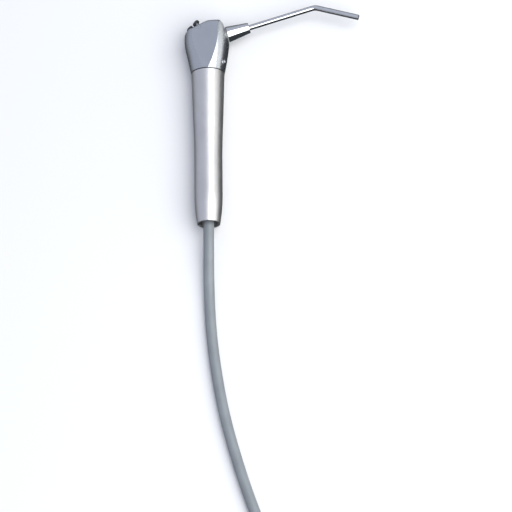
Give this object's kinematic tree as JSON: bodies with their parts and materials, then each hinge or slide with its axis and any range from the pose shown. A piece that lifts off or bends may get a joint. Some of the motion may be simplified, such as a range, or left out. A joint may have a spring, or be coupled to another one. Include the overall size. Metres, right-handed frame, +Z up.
{
  "type": "three-way dental syringe handpiece",
  "caption": "Air and water dental syringe handpiece with push buttons, a swivelling bent tip in a tapered collar, and its supply hose, lying on its side.",
  "frame": {"origin": "on the head's lower side flat, under the handle's axis, 18 mm up the handle axis from the seam between head and handle", "axes": "+Y along the handle's axis towards the head, +X towards the nozzle's side, +Z up, normal to the head's two side flats"},
  "size_m": [0.1471, 0.436, 0.0198],
  "materials": {
    "satin_metal": "satin, fine turned and brushed grain",
    "polished_chrome": "polished",
    "steel": "machined",
    "brass": "turned, nickel flashed",
    "button_plastic": "matt dark grey",
    "bearing_plastic": "matt grey",
    "seal_rubber": "matt black",
    "hose_rubber": "smooth grey",
    "line_tube": "smooth pale",
    "tie_fabric": "woven black"
  },
  "bodies": {
    "root": {"head_block": "satin_metal", "handle_shell": "satin_metal", "lower_guide_bush": "polished_chrome", "upper_guide_bush": "polished_chrome", "head_screw": "polished_chrome", "valve_pin": "steel", "lower_return_spring": "steel", "upper_return_spring": "steel", "hose_ferrule": "steel", "water_stub": "steel", "air_stub": "steel", "nozzle_adapter": "brass", "water_barb": "brass", "air_barb": "brass", "hose_adapter": "brass", "hose_connector": "brass", "seam_ring": "seal_rubber", "nozzle_seals": "seal_rubber", "hose_gland": "seal_rubber", "hose": "hose_rubber", "hose_coil": "hose_rubber", "hose_tail": "hose_rubber", "water_line": "line_tube", "air_line": "line_tube", "coil_tie": "tie_fabric"},
    "lower_valve": {"lower_button_cap": "button_plastic", "lower_valve_stem": "steel", "lower_stem_seal": "seal_rubber"},
    "upper_valve": {"upper_button_cap": "button_plastic", "upper_valve_stem": "steel", "upper_stem_seal": "seal_rubber"},
    "collar_drive": {"thrust_washer": "bearing_plastic"},
    "collar": {"collar_nut": "polished_chrome"},
    "tip_swivel": {"tip_bush": "brass"},
    "tip": {"tip_tube": "polished_chrome", "tip_core": "steel", "core_spacers": "bearing_plastic"}
  },
  "joints": [
    {"name": "lower_button_press", "type": "slide", "parent": "root", "child": "lower_valve", "axis": [0.7071, -0.7071, 0], "range_m": [0, 0.0015], "stiffness_N_per_m": 900, "springref_m": -0.003, "deforming": ["lower_return_spring"]},
    {"name": "upper_button_press", "type": "slide", "parent": "root", "child": "upper_valve", "axis": [0.7071, -0.7071, 0], "range_m": [0, 0.0015], "stiffness_N_per_m": 900, "springref_m": -0.003, "deforming": ["upper_return_spring"]},
    {"name": "collar_lift", "type": "slide", "parent": "root", "child": "collar_drive", "axis": [0.9641, 0.2656, 0], "range_m": [0, 0.00112]},
    {"name": "collar_unscrew", "type": "hinge", "parent": "collar_drive", "child": "collar", "pos_m": [0.0112, 0.00705, 0.0099], "axis": [0.9641, 0.2656, 0], "range_deg": [0, 540]},
    {"name": "tip_swivel_turn", "type": "hinge", "parent": "root", "child": "tip_swivel", "pos_m": [0.0112, 0.00705, 0.0099], "axis": [-0.9641, -0.2656, 0], "continuous": true},
    {"name": "tip_pull", "type": "slide", "parent": "tip_swivel", "child": "tip", "axis": [0.9641, 0.2656, 0], "range_m": [0, 0.018]}
  ],
  "couplings": [
    {"joint": "collar_unscrew", "follows": "collar_lift", "rad_per_m": 8377.6}
  ]
}
